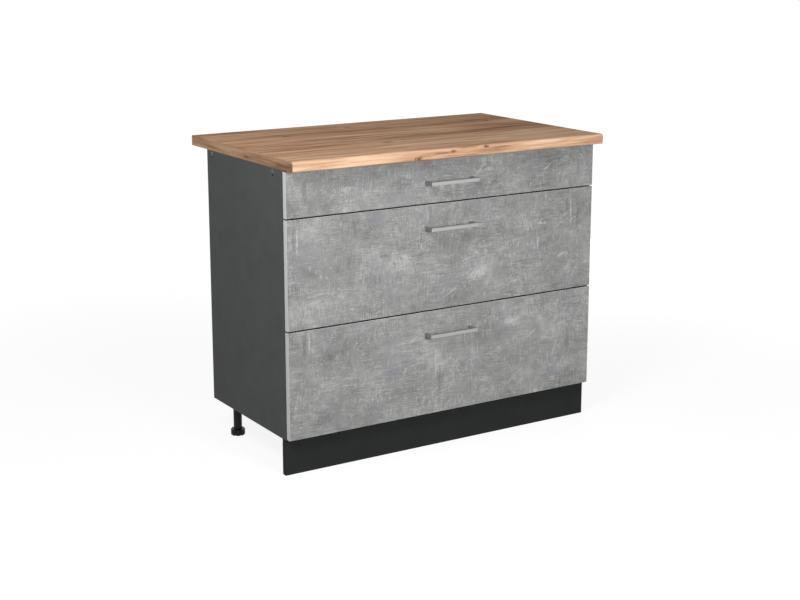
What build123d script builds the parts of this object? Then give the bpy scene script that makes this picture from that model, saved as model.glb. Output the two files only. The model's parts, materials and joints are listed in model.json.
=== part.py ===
"""Kitchen base cabinet with three drawers, a worktop, a plinth and levelling feet.

Millimetres. X runs along the width, Y from the front to the back, Z up from the floor.
The origin is on the floor, under the middle of the worktop. Each node is one STEP in parts/.
"""
import math
import os
from dataclasses import dataclass

from build123d import *

# ---- Carcass ----
CARCASS_WIDTH = 1000.0
CARCASS_DEPTH = 442.0
CARCASS_HEIGHT = 720.0
FLOOR_GAP = 100.0  # floor to the underside of the carcass
BOARD = 16.0
BACK_BOARD = 3.0
BACK_INSET = 10.0  # rear edge of the side panels to the back panel
GROOVE_DEPTH = 8.0
GROOVE_FIT = 0.1  # play of the back panel on each face
GROOVE_END_PLAY = 0.5
TOP_RAIL_WIDTH = 100.0

# ---- Worktop ----
WORKTOP_DEPTH = 600.0
WORKTOP_THICKNESS = 28.0
WORKTOP_OVERHANG = 58.0  # past the front edge of the carcass
WORKTOP_TOP_ROUND = 7.0
WORKTOP_BOTTOM_ROUND = 4.0
END_BAND = 0.8

# ---- Drawer fronts, which cover the front edges of the carcass ----
FRONT_THICKNESS = 16.0
FRONT_STAND_OFF = 2.0  # carcass to the back of the fronts
FRONT_GAP = 3.5
FRONT_REVEAL = 3.0  # carcass above the top front and below the bottom one
FRONT_SIDE_REVEAL = 1.5
SHALLOW_FRONT = 121.0  # height of the top front; the two below share the rest
FRONT_EDGE_ROUND = 1.0

# ---- Handles ----
HANDLE_LENGTH = 155.0
HANDLE_HEIGHT = 10.0
HANDLE_REACH = 34.0
HANDLE_BAR = 6.0
HANDLE_LEG = 11.0
HANDLE_CORNER_ROUND = 1.5
HANDLE_EDGE_ROUND = 0.6
HANDLE_DROP = 64.0  # top edge of a front to the middle of its handle
HANDLE_THREAD_DEPTH = 12.0

# ---- Drawer boxes of folded steel and board ----
DRAWER_LENGTH = 400.0
DRAWER_LIFT = 17.0  # lower edge of a front to the underside of its box
SHALLOW_SIDE = 86.0
DEEP_SIDE = 150.0
RUNNER_SPACE = 14.0  # side panel to the inner face of a drawer side
SIDE_SHEET = 1.0
SIDE_BEND = 1.0
FLOOR_FLANGE = 18.0  # inward, under the drawer bottom
HOOD_WIDTH = 12.0
HOOD_LIP = 7.0
BOARD_PLAY = 0.2  # between the boards and the steel sides

# ---- Runners: a rail on the side panel and a flange on the drawer, each with one roller ----
RAIL_LENGTH = 400.0
RAIL_SETBACK = 4.0  # front edge of the side panel to the rail
RAIL_SHEET = 1.2
RAIL_BEND = 1.2
RAIL_WIDTH = 10.5
RAIL_RISE = 2.0  # underside of the drawer box to the rail
RUNNER_SHEET = 1.2
RUNNER_BEND = 1.2
RUNNER_FLANGE = 9.5  # outward from the drawer side
RUNNER_FLANGE_GAP = 1.0  # above the rail
RUNNER_LEG_FOOT = 6.0  # lower edge of the runner angle above the underside of the box
ROLL_GAP = 0.3  # between a roller and what it rolls on
ROLL_HEADROOM = 0.5  # above a drawer roller inside the rail
DRAWER_ROLLER_RADIUS = 10.0
DRAWER_ROLLER_WIDTH = 6.0
DRAWER_ROLLER_INSET = 6.0  # rear end of the drawer side to the axis
CABINET_ROLLER_RADIUS = 11.0
CABINET_ROLLER_WIDTH = 7.0
CABINET_ROLLER_INSET = 14.0  # front end of the rail to the axis
ROLLER_SIDE_GAP = 0.5
PIN_RADIUS = 2.5
PIN_PLAY = 0.05
PIN_HEAD_RADIUS = 4.5
PIN_HEAD = 1.0
DRAWER_TRAVEL = 300.0
STOP_HEIGHT = 1.5
STOP_LENGTH = 6.0
END_TAB = 8.0  # height of the tab that closes the rear end of a rail
FRONT_CUT = 14.0  # the rail's upper flange ends this far behind the axis of its roller

# ---- Front brackets, inside the hood of each drawer side ----
BRACKET_HEIGHT = 50.0
BRACKET_LENGTH = 38.0
BRACKET_WIDTH = 10.0
BRACKET_SHEET = 1.2
BRACKET_RISE = 30.0  # underside of the box to the bracket
BRACKET_SCREW_SPACING = 32.0

# ---- Plinth and feet ----
PLINTH_THICKNESS = 16.0
PLINTH_SETBACK = 5.0  # front edge of the carcass to the face of the plinth
PLINTH_TOP_GAP = 0.5
PLINTH_FLOOR_GAP = 1.0
FOOT_SIDE_INSET = 44.0  # outer face of the carcass to the axis of a foot
FRONT_FOOT_INSET = 57.0  # front edge of the carcass to the axis
REAR_FOOT_INSET = 61.0
FOOT_BASE_RADIUS = 20.0
FOOT_BASE_HEIGHT = 17.0
FOOT_LOBES = 8
FOOT_NOTCH_RADIUS = 5.0
FOOT_NOTCH_DEPTH = 2.0
FOOT_TRAVEL = 25.0
FOOT_GAP = 0.3  # between the base and the tube when the foot is all the way in
TUBE_RADIUS = 12.0
TUBE_WALL = 3.0
TUBE_FIT = 0.1
SPINDLE_FIT = 0.1
SPINDLE_GRIP = 18.0  # spindle left in the tube when the foot is all the way out
SOCKET_SIZE = 56.0
SOCKET_PLATE = 4.0
SOCKET_CORNER = 6.0
SOCKET_COLLAR = 14.0
SOCKET_WALL = 4.0
SOCKET_ROOF = 3.0
SOCKET_RIB = 2.5
SOCKET_RIBS = 4
SOCKET_SCREW_INSET = 8.0
CLIP_WALL = 3.0
CLIP_HEIGHT = 16.0
CLIP_LOW = 45.0  # above the floor
CLIP_PLATE = 50.0
CLIP_NECK = 10.0
CLIP_MOUTH = 100.0  # degrees, open towards the back
CLIP_SCREW_SPACING = 36.0

# ---- Fasteners ----
HOLE_FIT = 0.05
LINK_HOLE_RADIUS = 2.5  # through holes to join two cabinets
LINK_HOLE_DROP = 18.5
FRONT_FIX_INSET = 50.0  # front edge of the side panel to its screw and its through hole
REAR_FIX_INSET = 30.0
CONFIRMAT_HEAD_RADIUS = 5.0
CONFIRMAT_HEAD = 3.0
CONFIRMAT_RADIUS = 3.2
CONFIRMAT_LENGTH = 50.0
CONFIRMAT_KEY = 4.0  # across the flats of the hexagon socket in its head
CONFIRMAT_KEY_DEPTH = 3.5
CONFIRMAT_KEY_SIDES = 6
DOWEL_RADIUS = 4.0
DOWEL_LENGTH = 30.0
DOWEL_IN_SIDE = 11.0
DOWEL_STEP = 32.0  # beside a screw or a cam
CAM_INSET = 60.0  # front or rear edge of the bottom panel to a cam
CAM_RADIUS = 7.5
CAM_HEIGHT = 12.5
CAM_REACH = 24.0  # side panel to the axis of a cam
CAM_BOLT_RADIUS = 2.5
CAM_BOLT_HEAD_RADIUS = 3.5
CAM_BOLT_HEAD = 4.0
CAM_BOLT_IN_SIDE = 11.0
WORKTOP_SCREW_RADIUS = 2.2
WORKTOP_SCREW_LENGTH = 30.0
WORKTOP_SCREW_PLACE = 350.0  # from the middle of the cabinet
SCREW_RADIUS = 1.75
SCREW_LENGTH = 15.0
SCREW_HEAD_RADIUS = 3.5
SCREW_HEAD = 2.0
HANDLE_SCREW_RADIUS = 2.0
RAIL_SCREW_PLACES = (37.0, 293.0)  # from the front edge of the side panel
BACK_SCREW_RISES = (40.0, 70.0)  # above the underside of the drawer box
FLOOR_SCREW_PLACES = (60.0, 330.0)  # from the back of the front

# ---- Places that follow from the sizes above ----
SIDE_X = CARCASS_WIDTH / 2
INNER_X = SIDE_X - BOARD
WALL_X = INNER_X - RUNNER_SPACE
CARCASS_LOW = FLOOR_GAP
CARCASS_TOP = FLOOR_GAP + CARCASS_HEIGHT
WORKTOP_FRONT = -WORKTOP_DEPTH / 2
CARCASS_FRONT = WORKTOP_FRONT + WORKTOP_OVERHANG
CARCASS_REAR = CARCASS_FRONT + CARCASS_DEPTH
BACK_REAR = CARCASS_REAR - BACK_INSET
BACK_FRONT = BACK_REAR - BACK_BOARD
FRONT_BACK = CARCASS_FRONT - FRONT_STAND_OFF
FRONT_FACE = FRONT_BACK - FRONT_THICKNESS
DRAWER_REAR = FRONT_BACK + DRAWER_LENGTH
RAIL_FRONT = CARCASS_FRONT + RAIL_SETBACK
RAIL_REAR = RAIL_FRONT + RAIL_LENGTH
PLINTH_FRONT = CARCASS_FRONT + PLINTH_SETBACK
PLINTH_BACK = PLINTH_FRONT + PLINTH_THICKNESS
FIX_PLACES = (CARCASS_FRONT + FRONT_FIX_INSET, CARCASS_REAR - REAR_FIX_INSET)
CAM_PLACES = (CARCASS_FRONT + CAM_INSET, CARCASS_REAR - CAM_INSET)
DEEP_FRONT = (CARCASS_HEIGHT - 2 * FRONT_REVEAL - 2 * FRONT_GAP - SHALLOW_FRONT) / 2
SPINDLE_RADIUS = TUBE_RADIUS - TUBE_WALL - SPINDLE_FIT
FEET = {
    "front_left": (-SIDE_X + FOOT_SIDE_INSET, CARCASS_FRONT + FRONT_FOOT_INSET),
    "front_right": (SIDE_X - FOOT_SIDE_INSET, CARCASS_FRONT + FRONT_FOOT_INSET),
    "rear_left": (-SIDE_X + FOOT_SIDE_INSET, CARCASS_REAR - REAR_FOOT_INSET),
    "rear_right": (SIDE_X - FOOT_SIDE_INSET, CARCASS_REAR - REAR_FOOT_INSET),
}

# Heights in the runner, above the underside of the drawer box
RAIL_FLOOR = RAIL_RISE + RAIL_SHEET
DRAWER_ROLLER_AXIS = RAIL_FLOOR + ROLL_GAP + DRAWER_ROLLER_RADIUS
RAIL_ROOF = DRAWER_ROLLER_AXIS + DRAWER_ROLLER_RADIUS + ROLL_HEADROOM
RAIL_HIGH = RAIL_ROOF + RAIL_SHEET
FLANGE_LOW = RAIL_HIGH + RUNNER_FLANGE_GAP
CABINET_ROLLER_AXIS = FLANGE_LOW - ROLL_GAP - CABINET_ROLLER_RADIUS
CABINET_ROLLER_Y = RAIL_FRONT + CABINET_ROLLER_INSET
DRAWER_ROLLER_Y = DRAWER_REAR - DRAWER_ROLLER_INSET

LEFTWARD, RIGHTWARD = (-1, 0, 0), (1, 0, 0)
FORWARD, BACKWARD = (0, -1, 0), (0, 1, 0)
UPWARD, DOWNWARD = (0, 0, 1), (0, 0, -1)


@dataclass
class Level:
    """One drawer: the height of its front's lower and upper edges and of its steel sides."""

    name: str
    front_low: float
    front_high: float
    side_height: float

    @property
    def box_low(self):
        return self.front_low + DRAWER_LIFT

    @property
    def handle_z(self):
        return self.front_high - HANDLE_DROP


def stack_levels():
    """The three drawers from the bottom up."""
    levels, low = [], CARCASS_LOW + FRONT_REVEAL
    for name, height, side in (
        ("bottom", DEEP_FRONT, DEEP_SIDE),
        ("middle", DEEP_FRONT, DEEP_SIDE),
        ("top", SHALLOW_FRONT, SHALLOW_SIDE),
    ):
        levels.append(Level(name, low, low + height, side))
        low += height + FRONT_GAP
    return levels


LEVELS = stack_levels()


# ---- Small helpers ----
def block(x, y, z):
    """A board between two places along each axis, each given as a pair."""
    low = (x[0], y[0], z[0])
    return Pos(*low) * Box(x[1] - x[0], y[1] - y[0], z[1] - z[0], align=(Align.MIN,) * 3)


def rod(start, along, radius, length):
    """A round bar from start."""
    up_from_start = (Align.CENTER, Align.CENTER, Align.MIN)
    return Plane(origin=start, z_dir=along) * Cylinder(radius, length, align=up_from_start)


def mirrored(part):
    """The same piece on the right-hand side."""
    return mirror(part, about=Plane.YZ)


def on_both_sides(parts):
    """Left-hand pieces with their mirror images."""
    return parts + [mirrored(part) for part in parts]


def grown(fit):
    """How far a tool that cuts a hole reaches past the fastener it is for."""
    return HOLE_FIT if fit else 0.0


def pan_screw(seat, along, radius, length, fit=False):
    """A screw whose round head lies on seat; with fit, the hole for its shank."""
    shank = rod(seat, along, radius + grown(fit), length + grown(fit))
    if fit:
        return shank
    backward = tuple(-part for part in along)
    return shank + rod(seat, backward, SCREW_HEAD_RADIUS, SCREW_HEAD)


def short_screw(seat, along, fit=False):
    """The chipboard screw used for rails, sockets, clips and drawer boxes."""
    return pan_screw(seat, along, SCREW_RADIUS, SCREW_LENGTH, fit)


def profile_plane(y, box_low):
    """Plane across a left-hand runner: x is outward from the drawer's inner wall, y is up."""
    return Plane(origin=(-WALL_X, y, box_low), x_dir=LEFTWARD, z_dir=BACKWARD)


def folded_sheet(points, bend, sheet, plane, length):
    """Sheet folded along a line through its middle, drawn across the plane."""
    line = FilletPolyline(*points, radius=bend)
    return plane * extrude(trace(line, sheet), amount=length, dir=UPWARD)


# ---- Fastener places, each used for the fastener and for its holes ----
def confirmats(fit=False):
    """Countersunk screws through the left side panel into the ends of the two top rails."""
    z = CARCASS_TOP - BOARD / 2
    screws = []
    for y in FIX_PLACES:
        seat = Plane(origin=(-SIDE_X, y, z), z_dir=RIGHTWARD)
        head = seat * Cone(
            CONFIRMAT_HEAD_RADIUS + grown(fit),
            CONFIRMAT_RADIUS + grown(fit),
            CONFIRMAT_HEAD,
            align=(Align.CENTER, Align.CENTER, Align.MIN),
        )
        length = CONFIRMAT_LENGTH + grown(fit)
        screw = head + rod((-SIDE_X, y, z), RIGHTWARD, CONFIRMAT_RADIUS + grown(fit), length)
        if not fit:
            key = RegularPolygon(CONFIRMAT_KEY / 2, CONFIRMAT_KEY_SIDES, major_radius=False)
            screw -= seat * extrude(key, CONFIRMAT_KEY_DEPTH)
        screws.append(screw)
    return screws


def dowels(fit=False):
    """Dowels between the left side panel and the ends of the rails and the bottom panel."""
    rail_z, floor_z = CARCASS_TOP - BOARD / 2, CARCASS_LOW + BOARD / 2
    places = [
        (FIX_PLACES[0] + DOWEL_STEP, rail_z),
        (FIX_PLACES[1] - DOWEL_STEP, rail_z),
        (CAM_PLACES[0] + DOWEL_STEP, floor_z),
        (CAM_PLACES[1] - DOWEL_STEP, floor_z),
    ]
    start = -INNER_X - DOWEL_IN_SIDE - grown(fit)
    length = DOWEL_LENGTH + 2 * grown(fit)
    return [rod((start, y, z), RIGHTWARD, DOWEL_RADIUS + grown(fit), length) for y, z in places]


def cam_bolts(fit=False):
    """Bolts from the left side panel into the cams of the bottom panel."""
    z = CARCASS_LOW + BOARD / 2
    bolts = []
    for y in CAM_PLACES:
        start = -INNER_X - CAM_BOLT_IN_SIDE - grown(fit)
        tip = -INNER_X + CAM_REACH
        shank = rod((start, y, z), RIGHTWARD, CAM_BOLT_RADIUS + grown(fit), tip - start)
        neck_end = tip - CAM_BOLT_HEAD / 2
        if fit:
            bore = CAM_BOLT_HEAD_RADIUS + grown(fit)
            head = rod((-INNER_X, y, z), RIGHTWARD, bore, neck_end + CAM_BOLT_HEAD + INNER_X)
        else:
            head = rod((neck_end, y, z), RIGHTWARD, CAM_BOLT_HEAD_RADIUS, CAM_BOLT_HEAD)
        bolts.append(shank + head)
    return bolts


def cam_housings(fit=False):
    """Cams in the underside of the bottom panel, each slotted for its bolt."""
    housings = []
    for y in CAM_PLACES:
        base = (-INNER_X + CAM_REACH, y, CARCASS_LOW)
        housings.append(rod(base, UPWARD, CAM_RADIUS + grown(fit), CAM_HEIGHT + grown(fit)))
    return housings


def worktop_screws(fit=False):
    """Screws up through both top rails into the worktop, on the left half."""
    places = [CARCASS_FRONT + TOP_RAIL_WIDTH / 2, BACK_FRONT - TOP_RAIL_WIDTH / 2]
    seats = [(-WORKTOP_SCREW_PLACE, y, CARCASS_TOP - BOARD) for y in places]
    return [pan_screw(seat, UPWARD, WORKTOP_SCREW_RADIUS, WORKTOP_SCREW_LENGTH, fit) for seat in seats]


def rail_screws(fit=False):
    """Screws that hold the left-hand rails to the side panel."""
    x = -INNER_X + RAIL_SHEET
    return [
        short_screw((x, CARCASS_FRONT + place, level.box_low + DRAWER_ROLLER_AXIS), LEFTWARD, fit)
        for level in LEVELS
        for place in RAIL_SCREW_PLACES
    ]


def socket_screws(fit=False):
    """Two screws in opposite corners of each foot socket."""
    reach = SOCKET_SIZE / 2 - SOCKET_SCREW_INSET
    z = CARCASS_LOW - SOCKET_PLATE
    return [
        short_screw((x + sign * reach, y + sign * reach, z), UPWARD, fit)
        for x, y in FEET.values()
        for sign in (-1, 1)
    ]


def clip_screws(fit=False):
    """Two screws that hold each clip to the back of the plinth."""
    reach = CLIP_SCREW_SPACING / 2
    y, z = PLINTH_BACK + CLIP_WALL, CLIP_LOW + CLIP_HEIGHT / 2
    return [
        short_screw((FEET[foot][0] + sign * reach, y, z), FORWARD, fit)
        for foot in ("front_left", "front_right")
        for sign in (-1, 1)
    ]


def bracket_screws(level, fit=False):
    """Screws that hold the left front bracket of a drawer to its front."""
    x = -WALL_X - SIDE_SHEET - BRACKET_WIDTH / 2
    y = FRONT_BACK + BRACKET_SHEET
    middle = level.box_low + BRACKET_RISE + BRACKET_HEIGHT / 2
    reach = BRACKET_SCREW_SPACING / 2
    return [short_screw((x, y, middle + sign * reach), FORWARD, fit) for sign in (-1, 1)]


def back_screws(level, fit=False):
    """Screws through the left steel side into the end of the drawer back."""
    x, y = -WALL_X - SIDE_SHEET, DRAWER_REAR - BOARD / 2
    return [short_screw((x, y, level.box_low + rise), RIGHTWARD, fit) for rise in BACK_SCREW_RISES]


def floor_screws(level, fit=False):
    """Screws up through the left floor flange into the drawer bottom."""
    x = -WALL_X + FLOOR_FLANGE / 2
    places = [(x, FRONT_BACK + place, level.box_low) for place in FLOOR_SCREW_PLACES]
    return [short_screw(place, UPWARD, fit) for place in places]


def handle_screws(level, fit=False):
    """Machine screws through the front into both legs of its handle."""
    reach = (HANDLE_LENGTH - HANDLE_LEG) / 2
    length = FRONT_THICKNESS + HANDLE_THREAD_DEPTH
    seats = [(sign * reach, FRONT_BACK, level.handle_z) for sign in (-1, 1)]
    return [pan_screw(seat, FORWARD, HANDLE_SCREW_RADIUS, length, fit) for seat in seats]


# ---- Carcass ----
def worktop_slice(x):
    """A length of the worktop with its rounded front edge."""
    y = (WORKTOP_FRONT, WORKTOP_FRONT + WORKTOP_DEPTH)
    board = block(x, y, (CARCASS_TOP, CARCASS_TOP + WORKTOP_THICKNESS))
    front_edges = board.edges().filter_by(Axis.X).group_by(Axis.Y)[0].sort_by(Axis.Z)
    board = fillet(front_edges[-1], WORKTOP_TOP_ROUND)
    front_edges = board.edges().filter_by(Axis.X).group_by(Axis.Z)[0].sort_by(Axis.Y)
    return fillet(front_edges[0], WORKTOP_BOTTOM_ROUND)


def worktop():
    core = worktop_slice((-SIDE_X + END_BAND, SIDE_X - END_BAND))
    return core - on_both_sides(worktop_screws(fit=True))


def left_side_panel():
    """Side board with its groove for the back and the holes for its fasteners."""
    panel = block((-SIDE_X, -INNER_X), (CARCASS_FRONT, CARCASS_REAR), (CARCASS_LOW, CARCASS_TOP))
    groove = block(
        (-INNER_X - GROOVE_DEPTH, -INNER_X),
        (BACK_FRONT - GROOVE_FIT, BACK_REAR + GROOVE_FIT),
        (CARCASS_LOW, CARCASS_TOP),
    )
    link_z = CARCASS_TOP - LINK_HOLE_DROP
    links = [rod((-SIDE_X, y, link_z), RIGHTWARD, LINK_HOLE_RADIUS, BOARD) for y in FIX_PLACES]
    holes = links + confirmats(fit=True) + dowels(fit=True) + rail_screws(fit=True)
    bolt_ends = [(-INNER_X, y, CARCASS_LOW + BOARD / 2) for y in CAM_PLACES]
    radius, depth = CAM_BOLT_RADIUS + HOLE_FIT, CAM_BOLT_IN_SIDE + HOLE_FIT
    cam_holes = [rod(end, LEFTWARD, radius, depth) for end in bolt_ends]
    return panel - [groove] - holes - cam_holes


def bottom_panel():
    board = block((-INNER_X, INNER_X), (CARCASS_FRONT, CARCASS_REAR), (CARCASS_LOW, CARCASS_LOW + BOARD))
    groove = block(
        (-INNER_X, INNER_X),
        (BACK_FRONT - GROOVE_FIT, BACK_REAR + GROOVE_FIT),
        (CARCASS_LOW + BOARD - GROOVE_DEPTH, CARCASS_LOW + BOARD),
    )
    end_holes = on_both_sides(dowels(fit=True) + cam_bolts(fit=True) + cam_housings(fit=True))
    return board - [groove] - end_holes - socket_screws(fit=True)


def top_rail(y):
    """A flat rail between the side panels, under the worktop."""
    rail = block((-INNER_X, INNER_X), y, (CARCASS_TOP - BOARD, CARCASS_TOP))
    return rail - on_both_sides(confirmats(fit=True) + dowels(fit=True) + worktop_screws(fit=True))


def back_panel():
    reach = INNER_X + GROOVE_DEPTH - GROOVE_END_PLAY
    low = CARCASS_LOW + BOARD - GROOVE_DEPTH + GROOVE_END_PLAY
    return block((-reach, reach), (BACK_FRONT, BACK_REAR), (low, CARCASS_TOP - GROOVE_END_PLAY))


def cam_connectors():
    """Cams and their bolts; each cam is bored for the head of its bolt."""
    radius, depth = CAM_BOLT_HEAD_RADIUS + HOLE_FIT, CAM_REACH + CAM_BOLT_HEAD
    bores = [rod((-INNER_X, y, CARCASS_LOW + BOARD / 2), RIGHTWARD, radius, depth) for y in CAM_PLACES]
    cams = [housing - bore for housing, bore in zip(cam_housings(), bores)]
    return on_both_sides(cam_bolts() + cams)


# ---- Plinth and feet ----
def plinth_panel():
    z = (PLINTH_FLOOR_GAP, CARCASS_LOW - PLINTH_TOP_GAP)
    return block((-SIDE_X, SIDE_X), (PLINTH_FRONT, PLINTH_BACK), z) - clip_screws(fit=True)


def plinth_clip(x, y):
    """A spring clip round the tube of a front foot, on a plate screwed to the plinth."""
    bore = TUBE_RADIUS + TUBE_FIT
    outside = bore + CLIP_WALL
    mouth_reach = outside * math.tan(math.radians(CLIP_MOUTH / 2))
    mouth = make_face(Polyline((0, 0), (mouth_reach, outside), (-mouth_reach, outside), close=True))
    plate_y = PLINTH_BACK + CLIP_WALL / 2 - y
    neck = Pos(0, (plate_y - bore) / 2) * Rectangle(CLIP_NECK, -bore - plate_y)
    outline = Circle(outside) - mouth + neck
    outline = outline + Pos(0, plate_y) * Rectangle(CLIP_PLATE, CLIP_WALL) - Circle(bore)
    return Pos(x, y, CLIP_LOW) * extrude(outline, CLIP_HEIGHT)


def plinth_clips():
    clips = [plinth_clip(*FEET[foot]) for foot in ("front_left", "front_right")]
    return [clip - clip_screws(fit=True) for clip in clips]


def foot_socket(x, y):
    """Moulded plate and collar under the bottom panel, with four ribs."""
    half, depth = SOCKET_SIZE / 2, SOCKET_PLATE + SOCKET_COLLAR
    bore_radius = TUBE_RADIUS + TUBE_FIT
    plate = extrude(RectangleRounded(SOCKET_SIZE, SOCKET_SIZE, SOCKET_CORNER), -SOCKET_PLATE)
    collar = rod((0, 0, 0), DOWNWARD, bore_radius + SOCKET_WALL, depth)
    rib_line = Polyline((0, 0), (half, 0), (half, -SOCKET_PLATE), (0, -depth), close=True)
    rib = extrude(Plane.XZ * make_face(rib_line), SOCKET_RIB / 2, both=True)
    ribs = PolarLocations(0, SOCKET_RIBS) * rib
    bore = rod((0, 0, -SOCKET_ROOF), DOWNWARD, bore_radius, depth)
    return Pos(x, y, CARCASS_LOW) * (plate + collar + ribs - bore)


def foot_sockets():
    return [foot_socket(x, y) - socket_screws(fit=True) for x, y in FEET.values()]


def foot_tube(x, y):
    """The fixed outer tube of a foot, from its socket down to just above its base."""
    end = (x, y, FOOT_BASE_HEIGHT + FOOT_GAP)
    length = CARCASS_LOW - SOCKET_ROOF - end[2]
    return rod(end, UPWARD, TUBE_RADIUS, length) - rod(end, UPWARD, TUBE_RADIUS - TUBE_WALL, length)


def foot(x, y):
    """The turning part of a foot: a lobed base and the spindle that screws into the tube."""
    notch_centre = FOOT_BASE_RADIUS + FOOT_NOTCH_RADIUS - FOOT_NOTCH_DEPTH
    notches = PolarLocations(notch_centre, FOOT_LOBES) * Circle(FOOT_NOTCH_RADIUS)
    base = extrude(Circle(FOOT_BASE_RADIUS) - notches, FOOT_BASE_HEIGHT)
    spindle = rod((0, 0, 0), UPWARD, SPINDLE_RADIUS, FOOT_BASE_HEIGHT + FOOT_TRAVEL + SPINDLE_GRIP)
    return Pos(x, y, 0) * (base + spindle)


# ---- Runners ----
def cabinet_rail(level):
    """Folded rail on the left side panel: open towards the drawer, stops on its lower flange."""
    web = RUNNER_SPACE - RAIL_SHEET / 2
    edge = RUNNER_SPACE - RAIL_WIDTH
    low, high = RAIL_RISE + RAIL_SHEET / 2, RAIL_HIGH - RAIL_SHEET / 2
    profile = [(edge, low), (web, low), (web, high), (edge, high)]
    plane = profile_plane(RAIL_FRONT, level.box_low)
    rail = folded_sheet(profile, RAIL_BEND, RAIL_SHEET, plane, RAIL_LENGTH)
    x = (-INNER_X + RAIL_SHEET, -INNER_X + RAIL_WIDTH)
    floor = level.box_low + RAIL_FLOOR
    roller_low = DRAWER_ROLLER_RADIUS + ROLL_GAP - STOP_HEIGHT
    stop_reach = math.sqrt(DRAWER_ROLLER_RADIUS**2 - roller_low**2)
    stop_y = DRAWER_ROLLER_Y - DRAWER_TRAVEL - stop_reach - ROLL_GAP
    stop = block(x, (stop_y - STOP_LENGTH, stop_y), (floor, floor + STOP_HEIGHT))
    tab = block(x, (RAIL_REAR - RAIL_SHEET, RAIL_REAR), (floor, floor + END_TAB))
    roof_z = (level.box_low + RAIL_ROOF - RAIL_BEND, level.box_low + RAIL_HIGH)
    roof_cut = block(x, (RAIL_FRONT, CABINET_ROLLER_Y + FRONT_CUT), roof_z)
    pin_place = (-INNER_X, CABINET_ROLLER_Y, level.box_low + CABINET_ROLLER_AXIS)
    pin_hole = rod(pin_place, RIGHTWARD, PIN_RADIUS, RAIL_SHEET)
    return rail + stop + tab - [roof_cut, pin_hole] - rail_screws(fit=True)


def pin(start, along, sheet, width):
    """A rivet that carries a roller: its shank through the sheet, its head past the roller."""
    length = sheet + 2 * ROLLER_SIDE_GAP + width
    tip = tuple(place + length * part for place, part in zip(start, along))
    return rod(start, along, PIN_RADIUS, length) + rod(tip, along, PIN_HEAD_RADIUS, PIN_HEAD)


def roller(start, along, radius, width):
    """A nylon roller with its running bore."""
    return rod(start, along, radius, width) - rod(start, along, PIN_RADIUS + PIN_PLAY, width)


def cabinet_pin(level):
    place = (-INNER_X, CABINET_ROLLER_Y, level.box_low + CABINET_ROLLER_AXIS)
    return pin(place, RIGHTWARD, RAIL_SHEET, CABINET_ROLLER_WIDTH)


def cabinet_roller(level):
    x = -INNER_X + RAIL_SHEET + ROLLER_SIDE_GAP
    place = (x, CABINET_ROLLER_Y, level.box_low + CABINET_ROLLER_AXIS)
    return roller(place, RIGHTWARD, CABINET_ROLLER_RADIUS, CABINET_ROLLER_WIDTH)


def drawer_pin(level):
    place = (-WALL_X, DRAWER_ROLLER_Y, level.box_low + DRAWER_ROLLER_AXIS)
    return pin(place, LEFTWARD, SIDE_SHEET + RUNNER_SHEET, DRAWER_ROLLER_WIDTH)


def drawer_roller(level):
    x = -WALL_X - SIDE_SHEET - RUNNER_SHEET - ROLLER_SIDE_GAP
    place = (x, DRAWER_ROLLER_Y, level.box_low + DRAWER_ROLLER_AXIS)
    return roller(place, LEFTWARD, DRAWER_ROLLER_RADIUS, DRAWER_ROLLER_WIDTH)


# ---- Drawers ----
def drawer_side(level):
    """Left steel side: floor flange, wall and hood folded from one sheet, with the runner welded on."""
    plane = profile_plane(FRONT_BACK, level.box_low)
    wall = SIDE_SHEET / 2
    top, lip = level.side_height - wall, HOOD_WIDTH - wall
    hood = [(wall, top), (lip, top), (lip, level.side_height - HOOD_LIP)]
    profile = [(-FLOOR_FLANGE, wall), (wall, wall)] + hood
    shell = folded_sheet(profile, SIDE_BEND, SIDE_SHEET, plane, DRAWER_LENGTH)
    leg, flange = SIDE_SHEET + RUNNER_SHEET / 2, FLANGE_LOW + RUNNER_SHEET / 2
    angle = [(leg, RUNNER_LEG_FOOT), (leg, flange), (SIDE_SHEET + RUNNER_FLANGE, flange)]
    runner = folded_sheet(angle, RUNNER_BEND, RUNNER_SHEET, plane, DRAWER_LENGTH)
    pin_place = (-WALL_X, DRAWER_ROLLER_Y, level.box_low + DRAWER_ROLLER_AXIS)
    pin_hole = rod(pin_place, LEFTWARD, PIN_RADIUS, SIDE_SHEET + RUNNER_SHEET)
    return shell + runner - [pin_hole] - back_screws(level, fit=True) - floor_screws(level, fit=True)


def drawer_front(level):
    reach = SIDE_X - FRONT_SIDE_REVEAL
    board = block((-reach, reach), (FRONT_FACE, FRONT_BACK), (level.front_low, level.front_high))
    board = fillet(board.faces().sort_by(Axis.Y)[0].edges(), FRONT_EDGE_ROUND)
    return board - handle_screws(level, fit=True) - on_both_sides(bracket_screws(level, fit=True))


def drawer_bottom(level):
    """Board that lies on the floor flanges, clear of their bends."""
    bend_inside = SIDE_BEND - SIDE_SHEET / 2
    reach = WALL_X - bend_inside - BOARD_PLAY
    low = level.box_low + SIDE_SHEET
    board = block((-reach, reach), (FRONT_BACK, DRAWER_REAR), (low, low + BOARD))
    return board - on_both_sides(floor_screws(level, fit=True))


def drawer_back(level):
    reach = WALL_X - BOARD_PLAY
    z = (level.box_low + SIDE_SHEET + BOARD, level.box_low + level.side_height)
    board = block((-reach, reach), (DRAWER_REAR - BOARD, DRAWER_REAR), z)
    return board - on_both_sides(back_screws(level, fit=True))


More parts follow.
